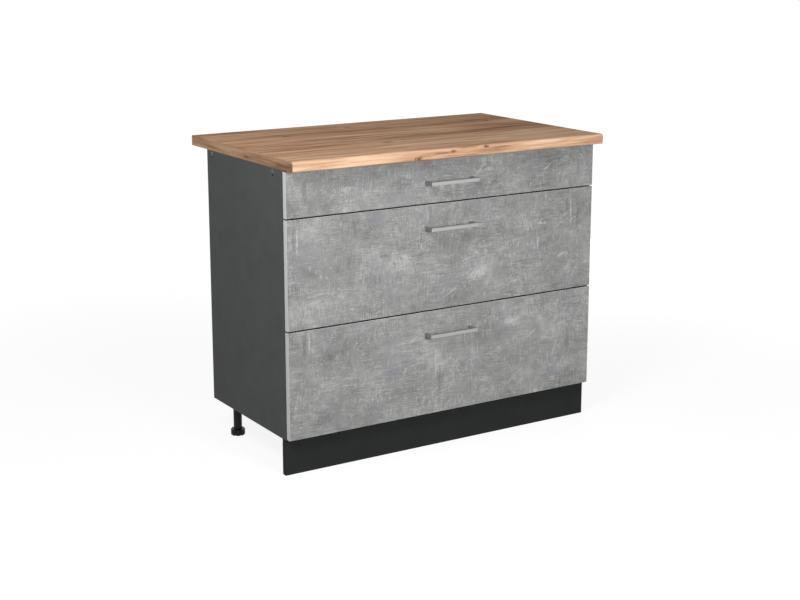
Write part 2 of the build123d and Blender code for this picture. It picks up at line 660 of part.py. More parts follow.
def front_bracket(level):
    """Left angle between the front and the steel side, inside the hood."""
    x = (-WALL_X - SIDE_SHEET - BRACKET_WIDTH, -WALL_X - SIDE_SHEET)
    z = (level.box_low + BRACKET_RISE, level.box_low + BRACKET_RISE + BRACKET_HEIGHT)
    foot_plate = block(x, (FRONT_BACK, FRONT_BACK + BRACKET_SHEET), z)
    leg = block((x[1] - BRACKET_SHEET, x[1]), (FRONT_BACK, FRONT_BACK + BRACKET_LENGTH), z)
    return foot_plate + leg - bracket_screws(level, fit=True)


def handle(level):
    """Bar handle: a flat bar with a leg at each end, square to the front."""
    forward = (Align.CENTER, Align.MAX)
    finger_space = Rectangle(HANDLE_LENGTH - 2 * HANDLE_LEG, HANDLE_REACH - HANDLE_BAR, align=forward)
    outline = Rectangle(HANDLE_LENGTH, HANDLE_REACH, align=forward) - finger_space
    bar = extrude(outline, HANDLE_HEIGHT / 2, both=True)
    bar = fillet(bar.edges().filter_by(Axis.Z).group_by(Axis.Y)[0], HANDLE_CORNER_ROUND)
    bar = fillet(bar.faces().sort_by(Axis.Y)[0].edges().filter_by(Axis.X), HANDLE_EDGE_ROUND)
    return Pos(0, FRONT_FACE, level.handle_z) * bar - handle_screws(level, fit=True)


# ---- All nodes ----
def carcass_nodes():
    nodes = {
        "worktop": [worktop()],
        "worktop_end_bands": on_both_sides([worktop_slice((-SIDE_X, -SIDE_X + END_BAND))]),
        "side_panel_left": [left_side_panel()],
        "side_panel_right": [mirrored(left_side_panel())],
        "bottom_panel": [bottom_panel()],
        "front_rail": [top_rail((CARCASS_FRONT, CARCASS_FRONT + TOP_RAIL_WIDTH))],
        "rear_rail": [top_rail((BACK_FRONT - TOP_RAIL_WIDTH, BACK_FRONT))],
        "back_panel": [back_panel()],
        "plinth_panel": [plinth_panel()],
        "plinth_clips": plinth_clips(),
        "foot_sockets": foot_sockets(),
        "foot_tubes": [foot_tube(x, y) for x, y in FEET.values()],
        "confirmat_screws": on_both_sides(confirmats()),
        "cam_connectors": cam_connectors(),
        "wood_dowels": on_both_sides(dowels()),
        "worktop_screws": on_both_sides(worktop_screws()),
        "chipboard_screws": on_both_sides(rail_screws()) + socket_screws() + clip_screws(),
    }
    for name, (x, y) in FEET.items():
        nodes[f"foot_{name}"] = [foot(x, y)]
    for level in LEVELS:
        nodes[f"cabinet_rails_{level.name}"] = on_both_sides([cabinet_rail(level), cabinet_pin(level)])
        nodes[f"cabinet_roller_{level.name}_left"] = [cabinet_roller(level)]
        nodes[f"cabinet_roller_{level.name}_right"] = [mirrored(cabinet_roller(level))]
    return nodes


def drawer_nodes(level):
    side = [drawer_side(level), drawer_pin(level)]
    box_screws = bracket_screws(level) + back_screws(level) + floor_screws(level)
    return {
        f"drawer_front_{level.name}": [drawer_front(level)],
        f"drawer_side_{level.name}_left": side,
        f"drawer_side_{level.name}_right": [mirrored(piece) for piece in side],
        f"drawer_bottom_{level.name}": [drawer_bottom(level)],
        f"drawer_back_{level.name}": [drawer_back(level)],
        f"front_brackets_{level.name}": on_both_sides([front_bracket(level)]),
        f"drawer_screws_{level.name}": on_both_sides(box_screws) + handle_screws(level),
        f"handle_{level.name}": [handle(level)],
        f"drawer_roller_{level.name}_left": [drawer_roller(level)],
        f"drawer_roller_{level.name}_right": [mirrored(drawer_roller(level))],
    }


def main():
    os.makedirs("parts", exist_ok=True)
    nodes = carcass_nodes()
    for level in LEVELS:
        nodes.update(drawer_nodes(level))
    for name, pieces in nodes.items():
        solids = [solid for piece in pieces for solid in piece.solids()]
        shape = solids[0] if len(solids) == 1 else Compound(solids)
        export_step(shape, f"parts/{name}.step")
    print(f"{len(nodes)} nodes written")


main()
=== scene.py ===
# %% [markdown]
# # A kitchen base cabinet with three drawers
# The cabinet's boards, steel drawer sides and screws come from exact solids that are already in place. This
# lesson gives them their finishes: a wood-look laminate, a concrete-look board, melamine, coated steel,
# moulded plastic and brushed aluminium. Blender works in metres, with X along the width, Y from front to back
# and Z up. The patterns are written in millimetres, because grain, chips and brush lines are measured so.

# %% Load the cabinet
import itertools
import json
import math

import bmesh
import bpy
from mathutils import Matrix, Vector


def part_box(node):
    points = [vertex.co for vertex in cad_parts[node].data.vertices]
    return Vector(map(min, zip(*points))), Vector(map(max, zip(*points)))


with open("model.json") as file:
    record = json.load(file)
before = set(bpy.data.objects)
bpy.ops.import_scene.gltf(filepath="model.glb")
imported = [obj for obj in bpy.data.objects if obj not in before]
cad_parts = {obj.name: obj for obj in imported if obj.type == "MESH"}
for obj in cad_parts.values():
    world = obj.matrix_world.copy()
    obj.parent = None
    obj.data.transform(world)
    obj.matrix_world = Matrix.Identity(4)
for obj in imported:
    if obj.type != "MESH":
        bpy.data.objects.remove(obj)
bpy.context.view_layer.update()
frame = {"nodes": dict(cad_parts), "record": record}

# %% [markdown]
# ## The camera
# The photograph looks at the left front corner from about standing height. A wide lens from nearby could
# frame it too, but a longer lens from four metres away keeps the long edges nearly parallel, as they are in
# the picture. A small downward shift of the lens lets the camera tilt a little less, so the uprights stay
# closer to upright.

# %% Place the camera
EYE = (-2.2209, -3.5319, 1.4032)
YAW, TILT = math.radians(32.24), math.radians(-12.427)
FOCAL_LENGTH, SHIFT = 66.57, -0.05

camera = bpy.data.objects.new("camera", bpy.data.cameras.new("camera"))
bpy.context.scene.collection.objects.link(camera)
camera.location = EYE
camera.rotation_euler = (math.pi / 2 + TILT, 0.0, -YAW)
camera.data.lens = FOCAL_LENGTH
camera.data.shift_y = SHIFT
bpy.context.scene.camera = camera
bpy.context.scene.view_settings.view_transform = "Standard"
print("camera looks", [round(angle, 3) for angle in camera.rotation_euler])

# %% [markdown]
# ## Nodes
# A finish is a small network of nodes. Drawn by hand in the editor it is hard to repeat, so one function adds
# any node, sets its options and joins its inputs. Each finish below then reads as a list of what it is made
# of. Colours are written as a designer would, in sRGB hex, and turned to the linear values that the renderer
# works in.

# %% Nodes
def linear(colour):
    """sRGB hex to a linear colour; a number, or a colour that is linear already, stays as it is."""
    if not isinstance(colour, str):
        return colour
    channels = [int(colour[i:i + 2], 16) / 255 for i in (1, 3, 5)]
    return [c / 12.92 if c <= 0.04045 else ((c + 0.055) / 1.055) ** 2.4 for c in channels] + [1.0]


def feed(tree, node, inputs):
    """Fills inputs, by name or number, each from a value, a hex colour, or a node or socket."""
    for name, source in inputs.items():
        if isinstance(name, int):
            socket = node.inputs[name]
        else:
            socket = next(s for s in node.inputs if s.enabled and s.name == name)
        if isinstance(source, bpy.types.Node):
            source = next(s for s in source.outputs if s.enabled)
        if isinstance(source, bpy.types.NodeSocket):
            tree.links.new(source, socket)
        else:
            socket.default_value = linear(source)


def add(tree, kind, inputs=None, stops=None, **settings):
    """Adds a node: its settings, then the colour stops of a ramp, then what its inputs are fed."""
    node = tree.nodes.new("ShaderNode" + kind)
    for name, value in settings.items():
        setattr(node, name, value)
    if stops:
        ramp = node.color_ramp.elements
        ramp[0].position, ramp[0].color = stops[0][0], linear(stops[0][1])
        ramp[-1].position, ramp[-1].color = stops[-1][0], linear(stops[-1][1])
        for place, colour in stops[1:-1]:
            ramp.new(place).color = linear(colour)
    feed(tree, node, inputs or {})
    return node


print("mid grey in linear light", [round(channel, 3) for channel in linear("#808080")])

# %% [markdown]
# ## Floor
# The object is photographed on pure white. A white floor would only be as bright as its light, so for the
# camera (and for what shines back from metal) it also glows. Near the object the glow is a little weaker, and
# the lit part of the floor makes up the rest, so a soft shadow stays where the object keeps the light away.

# %% Floor
REACH = 14.0
# just under the feet, so that no two faces share one plane
DROP = 0.0003
NEAR, FAR = 0.9, 3.2
NEAR_GLOW, FAR_GLOW = 0.88, 1.0

floor = bpy.data.objects.new("floor", bpy.data.meshes.new("floor"))
bpy.context.scene.collection.objects.link(floor)
plane = bmesh.new()
down = Matrix.Translation((0.0, 0.0, -DROP))
bmesh.ops.create_grid(plane, x_segments=1, y_segments=1, size=REACH, matrix=down)
plane.to_mesh(floor.data)
plane.free()


def seen_directly(tree):
    """1 for the camera and for what metal and glass show, 0 for light that falls on things."""
    ray = add(tree, "LightPath").outputs
    seen = add(tree, "Math", {0: ray["Is Camera Ray"], 1: ray["Is Glossy Ray"]}, operation="ADD")
    return add(tree, "Math", {0: seen, 1: ray["Is Transmission Ray"]}, operation="ADD", use_clamp=True)


paper = bpy.data.materials.new("white_studio_paper")
paper.use_nodes = True
tree = paper.node_tree
tree.nodes.clear()
away = add(tree, "VectorMath", {0: add(tree, "TexCoord").outputs["Object"]}, operation="LENGTH")
share = add(tree, "MapRange", {"Value": away.outputs["Value"], "From Min": NEAR, "From Max": FAR,
                               "To Min": NEAR_GLOW, "To Max": FAR_GLOW}, interpolation_type="SMOOTHSTEP")
glow = add(tree, "Math", {0: seen_directly(tree), 1: share}, operation="MULTIPLY")
lit = add(tree, "BsdfDiffuse", {"Color": "#707070"})
glowing = add(tree, "Emission", {"Color": "#ffffff", "Strength": glow})
add(tree, "OutputMaterial", {"Surface": add(tree, "AddShader", {0: lit, 1: glowing})})
floor.data.materials.append(paper)
print("floor reaches", REACH, "m each way")

# %% [markdown]
# ## Light
# Three softboxes light the cabinet. A small one stands in front, only a little higher than the worktop, and
# lights the fronts and the rolled edge; because it is low, a handle's shadow falls close behind its bar. A
# larger one stands high at the left front, for the side, the top and the strip on its end. A low one behind
# on the right keeps the back and the right side readable. One big lamp would be simpler, but could not give
# the faces the different brightness that they have in the photograph. The world is white to the camera, and
# otherwise a grey sky that is brighter near the horizon than overhead, which fills the shade.

# %% Light
HORIZON, OVERHEAD = 0.45, 0.16
# the sky is as dim as overhead from this height upwards, where straight up is 1
DIM_FROM = 0.55

world = bpy.data.worlds.new("studio")
bpy.context.scene.world = world
world.use_nodes = True
sky = world.node_tree
sky.nodes.clear()
height = add(sky, "SeparateXYZ", {"Vector": add(sky, "TexCoord").outputs["Generated"]}).outputs["Z"]
fill = add(sky, "MapRange", {"Value": height, "From Max": DIM_FROM, "To Min": HORIZON, "To Max": OVERHEAD})
strength = add(sky, "MapRange", {"Value": seen_directly(sky), "To Min": fill, "To Max": 1.0})
add(sky, "OutputWorld", {"Surface": add(sky, "Background", {"Color": "#ffffff", "Strength": strength})})


def softbox(name, place, aim, size, power):
    """A square area lamp, of a size in m and a power in W, that faces a point."""
    lamp = bpy.data.lights.new(name, "AREA")
    lamp.size, lamp.energy = size, power
    holder = bpy.data.objects.new(name, lamp)
    bpy.context.scene.collection.objects.link(holder)
    holder.location = place
    holder.rotation_euler = (Vector(aim) - Vector(place)).to_track_quat("-Z", "Y").to_euler()
    print(name, "at", place, "with", power, "W")


softbox("front_softbox", place=(-0.15, -3.0, 1.15), aim=(0.0, 0.0, 0.5), size=0.6, power=51)
softbox("left_softbox", place=(-1.9, -1.4, 2.2), aim=(-0.4, -0.1, 0.6), size=0.8, power=42)
softbox("rear_softbox", place=(2.0, 2.0, 0.45), aim=(0.0, 0.0, 0.45), size=0.7, power=36)

# %% [markdown]
# ## A finish from start to end
# Every finish here is made in the same steps. It starts with a shader, and with the place on the object in
# millimetres. Tints are then laid over a first colour, each where a share says so. At the end the colour goes
# to the shader, and the tone that it came from becomes a relief. Painting would need a picture for each
# piece. Patterns made from places need none, and keep one scale on all pieces.

# %% A finish from start to end
MM_PER_M = 1000.0


def start_finish(name, **shader_inputs):
    """A new material: its tree, its shader, and places on the object in mm."""
    material = bpy.data.materials.new(name)
    material.use_nodes = True
    tree = material.node_tree
    tree.nodes.clear()
    shader = add(tree, "BsdfPrincipled", {k.replace("_", " "): v for k, v in shader_inputs.items()})
    add(tree, "OutputMaterial", {"Surface": shader})
    where = add(tree, "TexCoord").outputs["Object"]
    place = add(tree, "VectorMath", {0: where, 1: (MM_PER_M,) * 3}, operation="MULTIPLY")
    return material, tree, shader, place


def laid_over(tree, colour, tint, *shares):
    """The colour with a tint over it, where all the shares are 1, and less of it where they are less."""
    share = shares[0]
    for other in shares[1:]:
        share = add(tree, "Math", {0: share, 1: other}, operation="MULTIPLY")
    return add(tree, "Mix", {"Factor": share, "A": colour, "B": tint}, data_type="RGBA")


def complete(tree, shader, colour, tone, strength, depth, rough):
    """Joins a finish to its shader; its tone stands out as a relief with a strength and a depth in mm."""
    relief = add(tree, "Bump", {"Height": tone, "Strength": strength, "Distance": depth / MM_PER_M})
    feed(tree, shader, {"Base Color": colour, "Normal": relief, "Roughness": rough})


def dress(material, *nodes):
    """Puts a finish on the cabinet's own pieces."""
    for name in nodes:
        frame["nodes"][name].material_slots[0].material = material
    print(material.name, "on", ", ".join(nodes))


print("pieces to dress", len(frame["nodes"]))

# %% [markdown]
# ## Grain and marks
# Most patterns here are sums of noises. A single noise with much detail looks like smoke, because its sizes
# fade evenly into each other; noises of chosen sizes and weights can be matched to a real material, and when
# one is stretched it becomes a grain. A mark that has a known place is a bell: full in its middle, and frayed
# at its rim by a finer noise, so that it doesn't look stamped.

# %% Grain and marks
def layered(tree, place, layers):
    """A tone round 0.5, summed from noises; a layer is its grain size in mm along X, Y, Z and its weight."""
    tone = 0.5 - 0.5 * sum(weight for size, weight in layers)
    for size, weight in layers:
        stretched = add(tree, "VectorMath", {0: place, 1: [1 / s for s in size]}, operation="MULTIPLY")
        noise = add(tree, "TexNoise", {"Vector": stretched, "Scale": 1.0, "Detail": 2.0})
        tone = add(tree, "Math", {0: noise, 1: weight, 2: tone}, operation="MULTIPLY_ADD")
    return tone


def fraying(tree, place, size, detail, reach):
    """A noise of a size in mm that moves the rim of a mark by up to reach times the mark's size."""
    noise = add(tree, "TexNoise", {"Vector": place, "Scale": 1 / size, "Detail": detail})
    return add(tree, "MapRange", {"Value": noise, "From Min": 0.25, "From Max": 0.75, "To Min": -reach,
                                  "To Max": reach})


def mark(tree, scaled, fray, full, gone):
    """A mark with a frayed rim: 1 where the scaled place is nearer than full, 0 where it is past gone."""
    distance = add(tree, "VectorMath", {0: scaled}, operation="LENGTH").outputs["Value"]
    frayed = add(tree, "Math", {0: distance, 1: fray}, operation="ADD")
    return add(tree, "MapRange", {"Value": frayed, "From Min": full, "From Max": gone, "To Min": 1.0,
                                  "To Max": 0.0}, interpolation_type="SMOOTHSTEP")


print("ready: layered grain, frayed marks")

# %% [markdown]
# ## Oak print
# The worktop is covered with a printed oak laminate. Long fibres run along it, with wider ribbons of lighter
# and darker wood, short dark flecks, fine pores, and a few small knots that the fibres bend round. A scanned
# board could give all this, but it would need a picture file, so the print is made of noises stretched along
# the grain. A slow drift bends all of them together, so that the streaks stay side by side as fibres do.

# %% Oak print
# ribbons and fibres: length, width and depth in mm, and weight
RIBBONS = (((900, 90, 90), 0.6), ((420, 30, 30), 0.5), ((260, 13, 13), 0.55), ((130, 5, 5), 0.3),
           ((60, 2.2, 2.2), 0.16))
# flecks and pores: length, width and depth in mm, the noise at which one starts, and how dark it gets; the
# pores are drawn wider than real ones, which would be too fine to show
DASHES = (((90, 9, 9), 0.57, 0.11), ((24, 1.1, 1.1), 0.6, 0.1))
DASH_RIM = 0.13
DRIFT_SIZE, DRIFT = (560, 190, 190), 46.0
# a knot's length over its width, and how far it pushes the fibres aside, in mm
KNOT_STRETCH, KNOT_PUSH = 2.5, 7.0
# which part of the endless figure lies on the board, chosen for its likeness to the photographed one
FIGURE_START = (0.0, 400.0, 0.0)


def knots_at(tree, place, knots):
    """For knots, each a middle and a size in mm: how much they bend the fibres, and where they are dark."""
    bend, core = 0.0, 0.0
    fray = fraying(tree, place, size=6, detail=1.0, reach=0.5)
    for middle, size in knots:
        scale = (1 / (KNOT_STRETCH * size), 1 / size, 1 / size)
        away = add(tree, "VectorMath", {0: place, 1: middle}, operation="SUBTRACT")
        scaled = add(tree, "VectorMath", {0: away, 1: scale}, operation="MULTIPLY")
        distance = add(tree, "VectorMath", {0: scaled}, operation="LENGTH").outputs["Value"]
        near = add(tree, "MapRange", {"Value": distance, "From Min": 0.0, "From Max": 5.0, "To Min": 1.0,
                                      "To Max": 0.0}, interpolation_type="SMOOTHERSTEP")
        side = add(tree, "SeparateXYZ", {"Vector": scaled}).outputs["Y"]
        bend = add(tree, "Math", {0: near, 1: side, 2: bend}, operation="MULTIPLY_ADD")
        dark = mark(tree, scaled, fray, full=0.2, gone=1.5)
        core = add(tree, "Math", {0: core, 1: dark}, operation="MAXIMUM")
    return bend, core


def oak_print(tree, place, knots):
    """The oak figure, with its grain along X: its tone, and where its knots are dark."""
    bend, core = knots_at(tree, place, knots)
    drift = layered(tree, place, [(DRIFT_SIZE, 1.0)])
    push = add(tree, "Math", {0: bend, 1: -KNOT_PUSH}, operation="MULTIPLY")
    aside = add(tree, "Math", {0: drift, 1: DRIFT, 2: push}, operation="MULTIPLY_ADD")
    aside = add(tree, "CombineXYZ", {"Y": aside})
    bent = add(tree, "VectorMath", {0: place, 1: aside}, operation="ADD")
    bent = add(tree, "VectorMath", {0: bent, 1: FIGURE_START}, operation="ADD")
    tone = layered(tree, bent, RIBBONS)
    for size, start, depth in DASHES:
        dash = add(tree, "MapRange", {"Value": layered(tree, bent, [(size, 1.0)]), "From Min": start,
                                      "From Max": start + DASH_RIM, "To Min": 0.0, "To Max": depth})
        tone = add(tree, "Math", {0: tone, 1: dash}, operation="SUBTRACT")
    return tone, core


print("oak in", len(RIBBONS), "widths, from", RIBBONS[0][0][1], "to", RIBBONS[-1][0][1], "mm")

# %% [markdown]
# ## Oak laminate
# The tone of the figure picks a printed colour, and the knots lie over it. Pores are pressed into the film,
# and dark wood is duller than light. The specular level is 0, which a real film's is not: at the low angle of
# this view even a weak sheen would lay the white of the studio over the whole print.

# %% Oak laminate
OAK_COLOURS = ((0.22, "#8c6a53"), (0.34, "#b1896d"), (0.45, "#cba081"), (0.56, "#ddb696"), (0.7, "#f0caaa"))
KNOT_COLOUR = "#5b3722"


def start_laminate(name):
    """A new material for a laminate."""
    return start_finish(name, IOR=1.5, Specular_IOR_Level=0.0)


def oak_colour(tree, tone, core, knot_strength):
    """The printed colours of a tone, with the knots over them."""
    wood = add(tree, "ValToRGB", {"Fac": tone}, stops=OAK_COLOURS)
    return laid_over(tree, wood, KNOT_COLOUR, core, knot_strength)


def complete_laminate(tree, shader, wood, tone):
    """Joins the print to its shader, with pores pressed in."""
    rough = add(tree, "MapRange", {"Value": tone, "From Min": 0.3, "From Max": 0.7, "To Min": 0.52,
                                   "To Max": 0.4})
    complete(tree, shader, wood, tone, strength=0.25, depth=0.6, rough=rough)


print("oak colours", [colour for tone, colour in OAK_COLOURS])

# %% [markdown]
# ## Cut chipboard
# Where a board is cut and left bare, it shows pressed wood chips of 1 to 4 mm. A cloudy noise would blur them
# into each other, so the chips are Voronoi cells, which give each chip one flat colour and a sharp edge.

# %% Cut chipboard
CHIP_SIZE = 2.5
CHIP_COLOURS = ((0.0, "#a08864"), (0.5, "#c4aa82"), (1.0, "#dcc7a2"))


def chipboard(tree, place):
    """Pressed wood chips, each with a colour of its own."""
    chips = add(tree, "TexVoronoi", {"Vector": place, "Scale": 1 / CHIP_SIZE, "Randomness": 1.0})
    shade = add(tree, "SeparateColor", {"Color": chips.outputs["Color"]})
    return add(tree, "ValToRGB", {"Fac": shade.outputs["Red"]}, stops=CHIP_COLOURS)


print("chips of about", CHIP_SIZE, "mm")

# %% [markdown]
# ## Worktop
# The worktop is chipboard with the oak laminate rolled round its front edge. Underneath is a plain backing
# sheet, and the rear edge is cut chipboard. Each could have a material of its own, given to its faces, but
# the piece comes with one slot and its mesh stays as it is, so the place on the board tells them apart.

# %% Worktop
# a face is told from its neighbours by its place, within this many mm
SKIN = 0.05
BACKING = "#8d7a66"
# knots on the top, by X and Y, and on the front edge, by X and the height over the underside; sizes: all mm
TOP_KNOTS = (((-290, 131), 6), ((-108, -116), 7), ((398, 130), 6), ((-38, 216), 4))
EDGE_KNOTS = (((-124, 6), 5), ((93, 23), 4), ((-14, 18), 3.5))


def edges(piece):
    """The lowest and the highest corner of one of the cabinet's pieces, in mm to two decimals."""
    return [[round(value * MM_PER_M, 2) for value in corner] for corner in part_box(piece)]


def past(tree, place, axis, limit, side="GREATER_THAN"):
    """1 where a place lies past a limit in mm along an axis, or short of it with LESS_THAN; 0 elsewhere."""
    along = add(tree, "SeparateXYZ", {"Vector": place}).outputs[axis]
    return add(tree, "Math", {0: along, 1: limit}, operation=side)


(_, front_edge, underside), (_, rear_edge, top_face) = edges("worktop")
knots = [((x, y, top_face), size) for (x, y), size in TOP_KNOTS]
knots += [((x, front_edge, underside + height), size) for (x, height), size in EDGE_KNOTS]

oak_laminate, tree, shader, place = start_laminate("oak_laminate_rolled")
tone, core = oak_print(tree, place, knots)
wood = oak_colour(tree, tone, core, knot_strength=0.8)
wood = laid_over(tree, wood, BACKING, past(tree, place, "Z", underside + SKIN, "LESS_THAN"))
wood = laid_over(tree, wood, chipboard(tree, place), past(tree, place, "Y", rear_edge - SKIN))
complete_laminate(tree, shader, wood, tone)
dress(oak_laminate, "worktop")

# %% [markdown]
# ## Strips on the cut ends
# Each cut end of the worktop carries a thin strip of the same print, with its grain along the strip. The
# strip's print is made a little darker, as painted shade on the end faces. Turning the places by a quarter
# turn turns the grain, and spares a second print.

# %% Strips on the cut ends
# the left strip's knot, by the turned places (towards the front, to the right, up), and its size: mm
STRIP_KNOT = ((44, -500.8, 829), 5)
# how much darker the strip's print is made, as painted shade on the end faces
STRIP_PAINTED_SHADE = 0.11

oak_strip, tree, shader, place = start_laminate("oak_edge_strip")
turned = add(tree, "VectorRotate", {"Vector": place, "Axis": (0, 0, 1), "Angle": math.pi / 2})
tone, core = oak_print(tree, turned, [STRIP_KNOT])
# painted shade: the whole strip is darkened
tone = add(tree, "Math", {0: tone, 1: STRIP_PAINTED_SHADE}, operation="SUBTRACT")
wood = oak_colour(tree, tone, core, knot_strength=0.45)
complete_laminate(tree, shader, wood, tone)
dress(oak_strip, "worktop_end_bands")

# %% [markdown]
# ## Concrete: the ground
# The fronts are chipboard with a melamine print of trowelled concrete. Its ground is grey in clouds of
# several sizes, from hand-wide patches to sand, with a slight violet cast here and there, and fine brush
# strokes both ways. The strokes could cover the whole board, but on the real print they come and go, so
# patches of noise let them through.

# %% Concrete: the ground
# grain size in mm along X, Y and Z, and weight
CLOUDS = (((190, 190, 130), 0.18), ((70, 70, 55), 0.12), ((22, 22, 20), 0.11), ((7, 7, 7), 0.08),
          ((2.6, 2.6, 2.6), 0.18))
# brush strokes, upright and level: size in mm, size of their patches, and where the patches start
BRUSHES = (((3, 3, 30), 55.0, 0.0), ((30, 30, 3), 70.0, 500.0))
BRUSH_WEIGHT = 0.19
GROUND_COLOURS = ((0.4, "#717171"), (0.47, "#898988"), (0.53, "#9b9b99"), (0.62, "#bfbfbd"))
CAST_COLOUR, CAST_STRENGTH = "#8e8b92", 0.35


def patches(tree, place, size, low, high, start=(0.0, 0.0, 0.0)):
    """Soft patches of a size in mm: 0 where their noise is under low, 1 where it is over high."""
    moved = add(tree, "VectorMath", {0: place, 1: start}, operation="ADD")
    noise = add(tree, "TexNoise", {"Vector": moved, "Scale": 1 / size, "Detail": 1.0})
    return add(tree, "MapRange", {"Value": noise, "From Min": low, "From Max": high},
               interpolation_type="SMOOTHSTEP")


def concrete_ground(tree, place, warped):
    """The tone of the ground, and its colour."""
    tone = layered(tree, place, CLOUDS)
    for size, patch, start in BRUSHES:
        brush = layered(tree, warped, [(size, BRUSH_WEIGHT)])
        stroke = add(tree, "Math", {0: brush, 1: 0.5}, operation="SUBTRACT")
        here = patches(tree, place, patch, low=0.38, high=0.62, start=(start, 0.0, start))
        tone = add(tree, "Math", {0: stroke, 1: here, 2: tone}, operation="MULTIPLY_ADD")
    grey = add(tree, "ValToRGB", {"Fac": tone}, stops=GROUND_COLOURS)
    cast = patches(tree, place, 95.0, low=0.5, high=0.72)
    return tone, laid_over(tree, grey, CAST_COLOUR, cast, CAST_STRENGTH)


print("clouds of", [size[0] for size, weight in CLOUDS], "mm")

# %% [markdown]
# ## Concrete: trowel lines and veins
# Over the ground lie the trowel's sparse pale and dark lines, and hair-fine broken veins. A line is where a
# noise that is stretched one way passes a high threshold, so the lines come out straight, few and of unequal
# length. The veins are the borders of bent Voronoi cells, shown only in patches, because they are broken.

# %% Concrete: trowel lines and veins
# angle, length, depth and width in mm, threshold, strength, size of their patches in mm, and tint
TROWEL_LINES = (
    (0, (46, 46, 2.4), 0.6, 0.3, 60.0, "#c9c9c7"),
    (90, (40, 40, 2.4), 0.6, 0.3, 75.0, "#c9c9c7"),
    (33, (26, 26, 2.6), 0.68, 0.45, 90.0, "#d2d2d0"),
    (0, (36, 36, 3.0), 0.63, 0.35, 80.0, "#6f6f70"),
)
LINE_RIM = 0.09
VEIN_CELL, VEIN_BEND = 23, 60.0
VEIN_COLOUR, VEIN_STRENGTH = "#cfcfcd", 0.45


def strokes(tree, place, angle, size, threshold):
    """Sparse straight strokes: 1 on a stroke, 0 between."""
    turn = math.radians(angle)
    turned = add(tree, "VectorRotate", {"Vector": place, "Axis": (0, 1, 0), "Angle": turn})
    stretched = add(tree, "VectorMath", {0: turned, 1: [1 / s for s in size]}, operation="MULTIPLY")
    noise = add(tree, "TexNoise", {"Vector": stretched, "Scale": 1.0, "Detail": 1.0})
    return add(tree, "MapRange", {"Value": noise, "From Min": threshold,
                                  "From Max": threshold + LINE_RIM})


def trowel_lines(tree, colour, place, warped):
    """Lays the trowel's lines over a colour."""
    for angle, size, threshold, strength, patch, tint in TROWEL_LINES:
        line = strokes(tree, warped, angle, size, threshold)
        here = patches(tree, place, patch, low=0.48, high=0.6, start=(angle * 9.0, 40.0, 7.0))
        colour = laid_over(tree, colour, tint, line, here, strength)
    return colour


def veins(tree, colour, place, waves):
    """Lays the broken veins over a colour."""
    bent = add(tree, "VectorMath", {0: waves, 1: (VEIN_BEND,) * 3, 2: place}, operation="MULTIPLY_ADD")
    cells = add(tree, "TexVoronoi", {"Vector": bent, "Scale": 1 / VEIN_CELL, "Randomness": 1.0},
                feature="DISTANCE_TO_EDGE")
    vein = add(tree, "MapRange", {"Value": cells.outputs["Distance"], "From Min": 0.0, "From Max": 0.06,
                                  "To Min": VEIN_STRENGTH, "To Max": 0.0})
    broken = patches(tree, place, 11.0, low=0.5, high=0.62)
    here = patches(tree, place, 60.0, low=0.4, high=0.6)
    return laid_over(tree, colour, VEIN_COLOUR, vein, broken, here)


print("trowel lines at", [line[0] for line in TROWEL_LINES], "degrees")

# %% [markdown]
# ## Concrete: marks and specks
# Some marks are large enough to be known by their place, such as the dark upright bars near the ends. Noise
# would put such marks anywhere, so they are put in one by one, measured from the upper left corner of each
# front. The pale specks, where air was trapped, are points of Voronoi cells in chosen places and in a few
# patches more.

# %% Concrete: marks and specks
DARK, PALE, VIOLET = "#6f6f71", "#cdcdcb", "#878390"
# tint, middle across and down, half width and half height in mm, and angle in degrees
MARKS = {
    "top": (
        (DARK, 53, 60, 7, 34, 0), (DARK, 345, 60, 44, 22, 0), (DARK, 622, 34, 26, 4, 35),
        (PALE, 598, 45, 26, 2.5, 40), (PALE, 833, 55, 24, 2.5, 40), (DARK, 942, 61, 7, 36, 0),
    ),
    "middle": (
        (DARK, 20, 60, 5, 46, 0), (PALE, 30, 55, 3, 44, 0), (VIOLET, 266, 26, 34, 18, 0),
        (DARK, 294, 126, 32, 6, 0), (DARK, 250, 188, 36, 24, 0), (DARK, 438, 25, 6, 26, 0),
        (PALE, 819, 90, 28, 3, 0), (DARK, 907, 48, 7, 38, 0), (PALE, 920, 60, 3, 44, 0),
        (DARK, 946, 84, 5, 34, 0), (PALE, 804, 144, 3, 28, 0), (VIOLET, 783, 167, 38, 8, 0),
        (DARK, 558, 96, 34, 22, 0), (PALE, 600, 206, 44, 18, 15), (PALE, 508, 249, 26, 2.5, 35),
        (PALE, 891, 188, 20, 5, 20),
    ),
    "bottom": (
        (DARK, 47, 43, 7, 38, 0), (PALE, 62, 35, 3, 34, 0), (VIOLET, 310, 159, 38, 24, 0),
        (PALE, 458, 150, 3, 46, 0), (DARK, 471, 196, 6, 46, 0), (PALE, 387, 73, 26, 2.5, 35),
        (PALE, 786, 112, 26, 2.5, 35), (PALE, 716, 65, 32, 16, 0), (DARK, 917, 151, 7, 52, 0),
        (VIOLET, 858, 230, 34, 20, 0), (DARK, 107, 248, 38, 22, 0),
    ),
}
MARK_STRENGTH = 0.55
# middles of groups of specks, across and down, in mm
SPECKS = {
    "top": ((38, 48), (65, 16), (158, 62), (960, 30)),
    "middle": ((361, 36), (790, 67), (588, 158), (906, 234), (691, 258)),
    "bottom": ((216, 58), (751, 173), (354, 237)),
}
# half width and half height of a group, and the spacing of its specks, in mm
SPECKS_SIZE, SPECK_CELL = (20, 14), 6
SPECK_COLOUR, SPECK_STRENGTH = "#dadad8", 0.7


